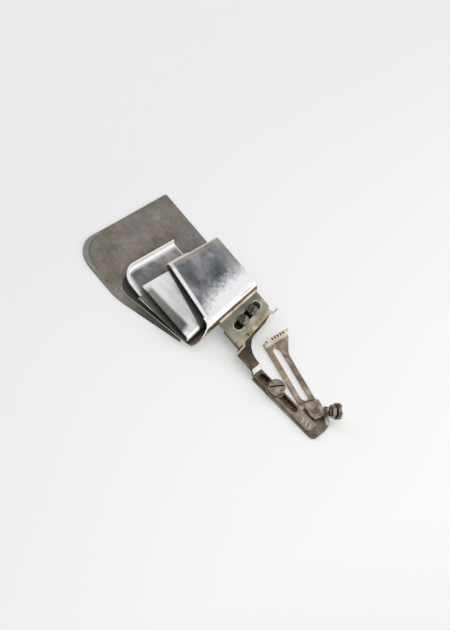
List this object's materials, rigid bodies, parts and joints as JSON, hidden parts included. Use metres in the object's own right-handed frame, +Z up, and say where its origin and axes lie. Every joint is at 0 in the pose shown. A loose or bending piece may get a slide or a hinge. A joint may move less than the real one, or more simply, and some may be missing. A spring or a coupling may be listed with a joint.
{
  "type": "hemmer folder with swing-away bracket",
  "caption": "Scroll-shaped sheet-metal hemmer that folds a cloth edge, on a slotted swing-away bracket that bolts to a sewing machine bed.",
  "frame": {"origin": "middle of the foot plate's bed slot, on the bed surface", "axes": "+X across the feed, to the operator's right; +Y along the feed, away from the operator; +Z up from the bed"},
  "size_m": [0.1497, 0.0695, 0.0105],
  "materials": {
    "base": "dull dark steel sheet, worn and lightly scratched",
    "scroll": "mirror-polished steel sheet",
    "lug": "dull grey steel",
    "solder": "soft solder, satin",
    "bracket": "warm satin nickel-plated steel",
    "screws": "turned steel, lightly browned"
  },
  "bodies": {
    "foot": {"foot_plate": "bracket", "pivot_rivet": "screws", "pivot_washer": "screws"},
    "swing": {"swing_plate": "bracket", "clamp_screw": "screws", "clamp_washer": "screws", "stop_screw": "screws", "stop_nut": "screws"},
    "arm": {"slotted_arm": "bracket", "slide_shim": "bracket", "shim_rivet": "screws", "lug_screws": "screws"},
    "folder": {"base_plate": "base", "outer_scroll": "scroll", "inner_tongue": "scroll", "mounting_lug": "lug", "lug_solder": "solder"}
  },
  "joints": [
    {"name": "swing", "type": "hinge", "parent": "foot", "child": "swing", "pos_m": [0.0225, -0.00478, 0], "axis": [0, 0, 1], "range_deg": [0, 45]},
    {"name": "arm_slide", "type": "slide", "parent": "swing", "child": "arm", "axis": [0.9954, 0.0958, 0], "range_m": [-0.01, 0.005]},
    {"name": "folder_slide", "type": "slide", "parent": "arm", "child": "folder", "axis": [-0.2419, 0.9703, 0], "range_m": [-0.005, 0.005]}
  ]
}
